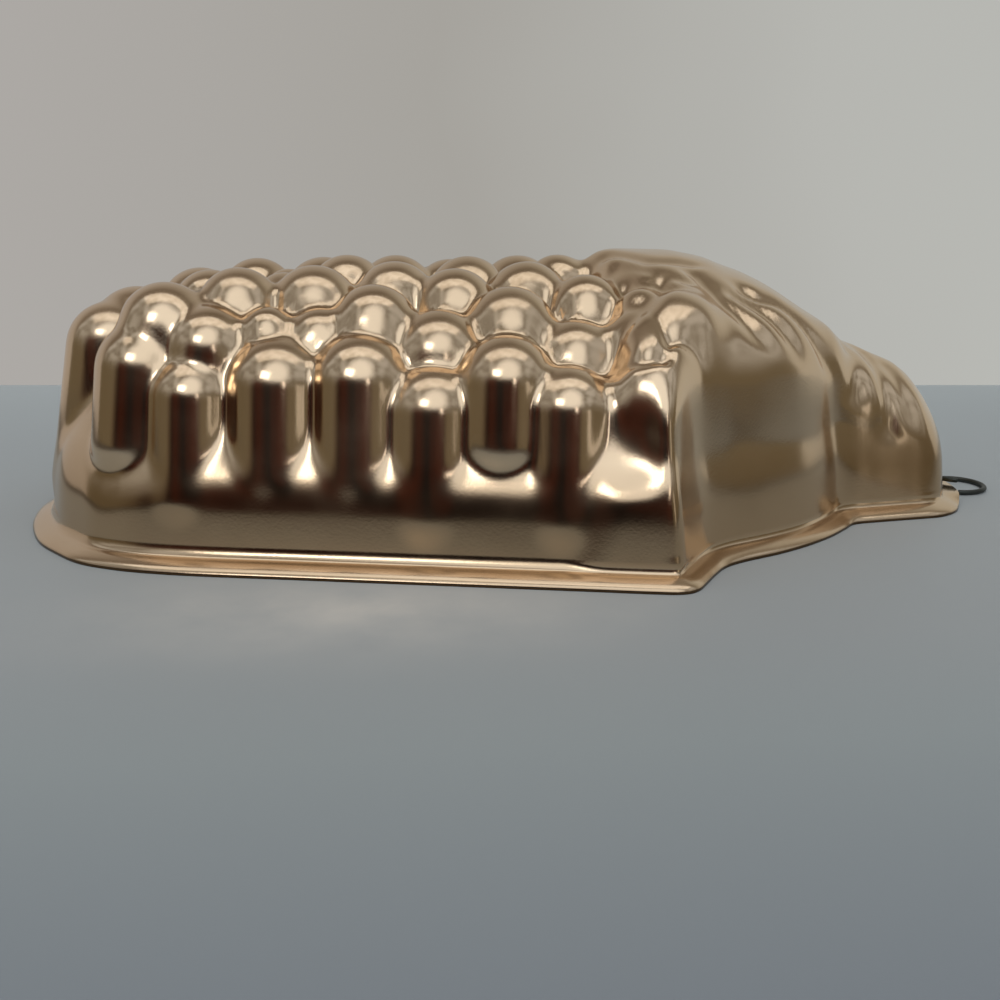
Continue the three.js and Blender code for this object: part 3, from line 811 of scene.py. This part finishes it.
def metal_skin(name):
    """Satin metal: slow colour drift, uneven gloss and a fine stipple."""
    dark, pale, rough_low, rough_high, stipple, shade_by_height = METALS[name]
    material, tree, shader = new_material(name, pale, rough_low, metallic=1.0)
    drift = noise(tree, "Object", *DRIFT_NOISE)
    colour = ramp(tree, drift, zip(TONE_SPREAD, (dark, pale)))
    # Painted shade by height: a dark contact-shadow line at the rim's cut edge and a darker,
    # browner skirt
    if shade_by_height:
        height = ranged(tree, axes_of(tree, "Object")["Z"], 0, MOLD_HEIGHT * MM)
        colour = multiplied(tree, colour, ramp(tree, height, shade_by_height))
    haze = noise(tree, "Object", *HAZE_NOISE)
    gloss = ramp(tree, haze, zip(GLOSS_SPREAD, ((rough_low,) * 3, (rough_high,) * 3)))
    grain = noise(tree, "Object", *STIPPLE_NOISE)
    bumps = {"Strength": stipple, "Distance": STIPPLE_HEIGHT * MM, "Height": grain}
    feed(tree, colour, shader.inputs["Base Color"])
    feed(tree, gloss, shader.inputs["Roughness"])
    feed(tree, node(tree, "Bump", bumps)["Normal"], shader.inputs["Normal"])
    return material


def table_paint():
    """Grey table paint with painted shade that darkens it towards the camera, and a painted pale
    glow before the mold.
    """
    material, tree, shader = new_material("table_paint", TABLE_SHADED_TONES[-1][1], TABLE_ROUGHNESS)
    axes = axes_of(tree, "Object")
    depth = ranged(tree, axes["Y"], *in_metres(TABLE_REACH))
    across = ranged(tree, axes["X"], *in_metres(TABLE_SIDE_REACH))
    # Painted shade at the front and the sides, seen by the metal and the lamps but not by the
    # camera
    shade = multiplied(tree, ramp(tree, depth, TABLE_FRONT_SHADE), ramp(tree, across, TABLE_SIDE_SHADE))
    seen = mixed(tree, node(tree, "LightPath")["Is Camera Ray"], shade, WHITE)
    paint = multiplied(tree, ramp(tree, depth, TABLE_SHADED_TONES), seen)
    spot = {
        "Vector": position(tree, "Object"),
        "Location": in_metres(GLOW_PLACE),
        "Scale": in_metres(GLOW_SIZE),
    }
    # Painted light: a mottled pale pool of light on the table before the mold
    round_spot = {"Vector": node(tree, "Mapping", spot, vector_type="TEXTURE")["Vector"]}
    glow = node(tree, "TexGradient", round_spot, gradient_type="QUADRATIC_SPHERE")["Fac"]
    painted_glow_share = math_of(tree, "MULTIPLY", glow, noise(tree, "Object", *HAZE_NOISE))
    feed(tree, mixed(tree, painted_glow_share, paint, GLOW_TONE), shader.inputs["Base Color"])
    return material


def wall_paint():
    """Wall paint: the camera and the metal see it glow with painted light and shade, and the lamps
    see plain paint.
    """
    material, tree, shader = new_material("wall_paint", WALL_PAINT, WALL_ROUGHNESS)
    axes = axes_of(tree, "Generated")
    drift = noise(tree, "Object", *WALL_NOISE)
    drifted = math_of(tree, "MULTIPLY_ADD", drift, WALL_DRIFT, axes["X"])
    # Painted light across the wall and painted shade by height, which glow for the camera and the
    # metal
    tone = multiplied(tree, ramp(tree, drifted, WALL_LIGHT_TONES), ramp(tree, axes["Z"], WALL_PAINTED_SHADE))
    glowing_painted_tone = node(tree, "Emission", {"Color": tone})["Emission"]
    path = node(tree, "LightPath")
    seen = math_of(tree, "MAXIMUM", path["Is Camera Ray"], path["Is Glossy Ray"])
    front = {"Fac": seen, 1: shader.outputs["BSDF"], 2: glowing_painted_tone}
    one_sided = {
        "Fac": node(tree, "NewGeometry")["Backfacing"],
        1: node(tree, "MixShader", front)["Shader"],
        2: node(tree, "BsdfTransparent")["BSDF"],
    }
    whole = node(tree, "MixShader", one_sided)["Shader"]
    feed(tree, whole, tree.nodes["Material Output"].inputs["Surface"])
    return material


# Camera, stage and light
def add_camera():
    data = bpy.data.cameras.new("camera")
    data.sensor_width = SENSOR_WIDTH
    data.lens = SENSOR_WIDTH * FOCAL_SHARE
    data.clip_start = CAMERA_NEAREST * MM
    made = bpy.data.objects.new("camera", data)
    bpy.context.scene.collection.objects.link(made)
    x, y = CAMERA_FROM_TIP
    made.location = in_metres((x - MIDDLE_X, y, CAMERA_HEIGHT))
    made.rotation_euler = (math.pi / 2 - CAMERA_PITCH, 0, -CAMERA_YAW)
    bpy.context.scene.camera = made
    return made


def add_plane(name, corners, material):
    plane = new_object(name, np.array(corners), [[0, 1, 2, 3]], False)
    plane.data.materials.append(material)


def add_stage(camera):
    """The table and the wall at its far end, square to the camera."""
    ahead = Vector((math.sin(CAMERA_YAW), math.cos(CAMERA_YAW), 0))
    aside = Vector((math.cos(CAMERA_YAW), -math.sin(CAMERA_YAW), 0)) * (STAGE_HALF_WIDTH * MM)
    up = Vector((0, 0, WALL_HEIGHT * MM))
    foot = Vector((camera.location.x, camera.location.y, 0))
    far = foot + ahead * (TABLE_DEPTH * MM)
    near = foot - ahead * (TABLE_BEHIND * MM)
    add_plane("table", [near - aside, near + aside, far + aside, far - aside], table_paint())
    add_plane("backdrop", [far - aside, far + aside, far + aside + up, far - aside + up],
              wall_paint())


def add_lamp(name, place, target, size, power):
    data = bpy.data.lights.new(name, "AREA")
    data.shape = "RECTANGLE"
    data.size, data.size_y = size
    data.energy = power
    lamp = bpy.data.objects.new(name, data)
    bpy.context.scene.collection.objects.link(lamp)
    lamp.location = place
    aim = Vector(target) - Vector(place)
    lamp.rotation_euler = aim.to_track_quat("-Z", "Y").to_euler()


def add_world():
    """Clouded light overhead, low sides, a bright window and a dark zone low in front."""
    world = bpy.data.worlds.new("soft_room")
    bpy.context.scene.world = world
    world.use_nodes = True
    tree = world.node_tree
    axes = axes_of(tree, "Generated")

    def within(source, spread):
        return ranged(tree, source, *spread, "SMOOTHSTEP")

    def towards(heading):
        inputs = {0: position(tree, "Generated"), 1: heading}
        return node(tree, "VectorMath", inputs, operation="DOT_PRODUCT")["Value"]

    overhead = ramp(tree, noise(tree, "Generated", *CLOUD_NOISE), OVERHEAD)
    plain = mixed(tree, within(axes["Z"], OVERHEAD_SPREAD), LOW_SIDES, overhead)
    lit = mixed(tree, within(towards(WINDOW_HEADING), WINDOW_SPREAD), plain, WINDOW)
    low_front = math_of(tree, "MULTIPLY", within(towards(DARK_HEADING), DARK_SPREAD),
                        within(axes["Z"], DARK_TOP_SPREAD))
    dark = math_of(tree, "MULTIPLY", low_front, within(axes["X"], DARK_SIDE_SPREAD))
    shadows = ramp(tree, noise(tree, "Generated", *SHADOW_NOISE), DARK_ROOM)
    room = mixed(tree, dark, lit, shadows)
    seen = mixed(tree, node(tree, "LightPath")["Is Camera Ray"], room, BACKGROUND)
    feed(tree, seen, tree.nodes["Background"].inputs["Color"])


# The scene
bpy.context.scene.view_settings.view_transform = "Standard"
add_stage(add_camera())
add_world()
for lamp_values in LAMPS:
    add_lamp(*lamp_values)

shell = build_shell()
cut_hole(shell)
for skin in SHELL_SKINS:
    shell.data.materials.append(metal_skin(skin))
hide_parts("mold_shell")
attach(shell, "mold")

ring = build_ring()
ring.data.materials.append(metal_skin("dark_steel"))
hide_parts("hanging_ring")
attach(ring, "ring")
